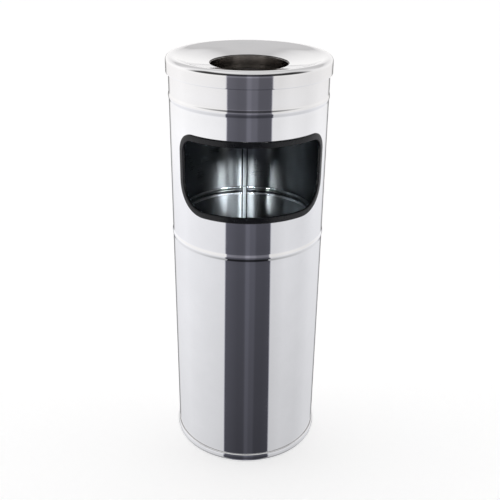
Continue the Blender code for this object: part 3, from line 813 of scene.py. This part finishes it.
# white walls: brightest just under the horizon, greyer towards the floor
walls = n.ramp(el, [(-90, 0.32), (-60, 0.40), (-50, 0.48), (-46, 0.62), (-41, 0.76), (-30, 0.88), (-22, 0.95), (-17, 1.06),
                    (-12.5, 0.98), (0, 1.06), (20, 1.05), (45, 0.92), (90, 0.84)])
walls = n.math("MULTIPLY", walls, n.ramp(az, [(-180, 0.93), (-140, 0.97), (-108, 1.05), (-70, 0.97), (-40, 0.90),
                                              (0, 0.80), (42, 0.80), (60, 0.87), (90, 0.84), (118, 0.91), (150, 0.90),
                                              (180, 0.93)]))
# behind the bin the table ends in a dark edge below the horizon
rear = n.remap(absaz, 148.0, 166.0, 1.0, 0.13, "SMOOTHSTEP")
below = n.remap(el, -7.0, -2.0, 1.0, 0.0, "SMOOTHSTEP")
walls = n.math("MULTIPLY", walls, n.math("ADD", n.math("MULTIPLY", rear, below), n.math("SUBTRACT", 1.0, below)))
# and the backdrop's top edge shows over the horizon, with a greyer ceiling above
ceiling = n.ramp(el, [(-90, 1.0), (2, 1.05), (12, 1.0), (20, 0.90), (25, 0.80), (28, 0.62), (31, 0.68), (40, 0.72), (60, 0.82), (90, 1.0)])
behind = n.remap(absaz, 95.0, 130.0, 0.0, 1.0, "SMOOTHSTEP")
walls = n.math("MULTIPLY", walls, n.math("ADD", n.math("MULTIPLY", ceiling, behind), n.math("SUBTRACT", 1.0, behind)))

# above the horizon the sides of the tent are left open towards the front
opened = n.math("MULTIPLY", n.remap(el, 3.0, 12.0, 0.0, 0.95, "SMOOTHSTEP"), n.remap(absaz, 72.0, 98.0, 1.0, 0.0, "SMOOTHSTEP"))
opened = n.math("MULTIPLY", opened, n.remap(el, 45.0, 60.0, 1.0, 0.0, "SMOOTHSTEP"))
walls = n.math("MULTIPLY", walls, n.math("SUBTRACT", 1.0, opened))

# the open front: a dark band with a paler slit in the middle
low = n.remap(el, -41.0, -12.0, 38.0, 30.5)
left = n.math("MULTIPLY", n.math("SUBTRACT", low, 0.8), -1.0)
rightb = n.math("ADD", low, 1.2)
inside_l = n.remap(n.math("SUBTRACT", az, left), -1.3, 1.3, 0.0, 1.0, "SMOOTHSTEP")
inside_r = n.remap(n.math("SUBTRACT", rightb, az), -1.3, 1.3, 0.0, 1.0, "SMOOTHSTEP")
band = n.math("MULTIPLY", inside_l, inside_r)
band = n.math("MULTIPLY", band, n.remap(el, 40.0, 52.0, 1.0, 0.0, "SMOOTHSTEP"))
dark = n.ramp(el, [(-90, 0.30), (-62, 0.12), (-52, 0.012), (-47, 0.016), (-41, 0.052), (-35, 0.066), (-28, 0.080),
                   (-22, 0.095), (-13, 0.118), (-8, 0.150), (-3, 0.22), (3, 0.14), (6, 0.05), (38, 0.03), (50, 0.20)])
across = n.ramp(az, [(-180, 1.0), (-38, 1.40), (-24, 1.18), (-14, 0.98), (-7, 0.98), (-3.5, 1.05), (-2, 1.60), (2.5, 1.60),
                     (4.5, 1.30), (11, 1.28), (14, 0.92), (26, 0.90), (38, 1.05), (180, 1.0)])
dark = n.math("MULTIPLY", dark, across)
value = n.math("ADD", n.math("MULTIPLY", walls, n.math("SUBTRACT", 1.0, band)), n.math("MULTIPLY", dark, band))
tint = n.ramp(el, [(-90, (1.0, 1.0, 1.0)), (-55, (0.975, 0.98, 1.0)), (-22, (0.965, 0.968, 1.0)), (-16, (0.99, 0.988, 1.0)),
                   (-12, (1.0, 0.982, 0.972)), (5, (1.0, 0.99, 0.98)), (30, (1.0, 0.985, 0.985)), (90, (1.0, 1.0, 1.0))])
cool = n.mix(band, (1.0, 1.0, 1.0), (0.95, 0.95, 1.13))
hue = n.new("ShaderNodeVectorMath", operation="MULTIPLY")
n.link(tint, hue.inputs[0])
n.link(cool, hue.inputs[1])
vm = n.new("ShaderNodeVectorMath", operation="SCALE")
n.link(hue.outputs[0], vm.inputs[0])
n.link(value, vm.inputs["Scale"])
n.link(vm.outputs[0], bg.inputs["Color"])
bg.inputs["Strength"].default_value = 1.0


def stage_material(name, colour, glow, rough=0.9):
    m = bpy.data.materials.new(name)
    m.use_nodes = True
    p = m.node_tree.nodes["Principled BSDF"]
    p.inputs["Base Color"].default_value = (*colour, 1)
    p.inputs["Roughness"].default_value = rough
    p.inputs["Specular IOR Level"].default_value = 0.1
    p.inputs["Emission Color"].default_value = (1, 1, 1, 1)
    p.inputs["Emission Strength"].default_value = glow
    return m


bpy.ops.mesh.primitive_circle_add(vertices=96, radius=14.0, fill_type="NGON", location=(0, 0, -0.0004))
floor = bpy.context.object
floor.name = "pale_floor"
floor.data.materials.append(stage_material("pale_floor", (0.80, 0.80, 0.80), 0.56))
floor.visible_glossy = False
bpy.ops.mesh.primitive_uv_sphere_add(segments=48, ring_count=24, radius=13.5)
dome = bpy.context.object
dome.name = "white_backdrop"
dome.data.materials.append(stage_material("white_backdrop", (0.0, 0.0, 0.0), 1.05))
for flag in ("visible_diffuse", "visible_glossy", "visible_transmission", "visible_volume_scatter", "visible_shadow"):
    setattr(dome, flag, False)

# strip lights with grids in front and above, kept for the inside that is seen through the mouth
inside = bpy.data.collections.new("lit_through_the_mouth")
for name in ("body_sheet", "lock_seam_fold", "inner_bucket_wall", "bucket_seam_fold", "bucket_floor"):
    inside.objects.link(bpy.data.objects[name])
STRIP_DIST, STRIP_RISE, STRIP_TALL, GRID = 0.8, math.radians(24.0), 0.30, math.radians(10.0)
for i, (bearing, wide, watts) in enumerate(((43.0, 0.10, 0.190), (29.0, 0.15, 0.026), (12.0, 0.07, 0.055),
                                            (-5.0, 0.10, 0.045), (-36.0, 0.07, 0.130)), 1):
    data = bpy.data.lights.new(f"strip_{i}", "AREA")
    data.shape = "RECTANGLE"
    data.size, data.size_y = wide, STRIP_TALL
    data.spread = GRID
    data.energy = watts
    data.color = (0.96, 0.98, 1.0)
    strip = bpy.data.objects.new(f"strip_{i}", data)
    bpy.context.scene.collection.objects.link(strip)
    # each lights the place on the back wall where the camera would see it mirrored
    turn = math.radians(bearing)
    target = Vector((-0.119 * math.sin(turn / 2 + TURN), 0.119 * math.cos(turn / 2 + TURN), 0.43))
    away = Vector((math.sin(turn - TURN) * math.cos(STRIP_RISE), -math.cos(turn - TURN) * math.cos(STRIP_RISE),
                   math.sin(STRIP_RISE)))
    strip.location = target + away * STRIP_DIST
    strip.rotation_mode = "QUATERNION"
    strip.rotation_quaternion = (-away).to_track_quat("-Z", "Y")
    strip.visible_camera = False
    strip.light_linking.receiver_collection = inside
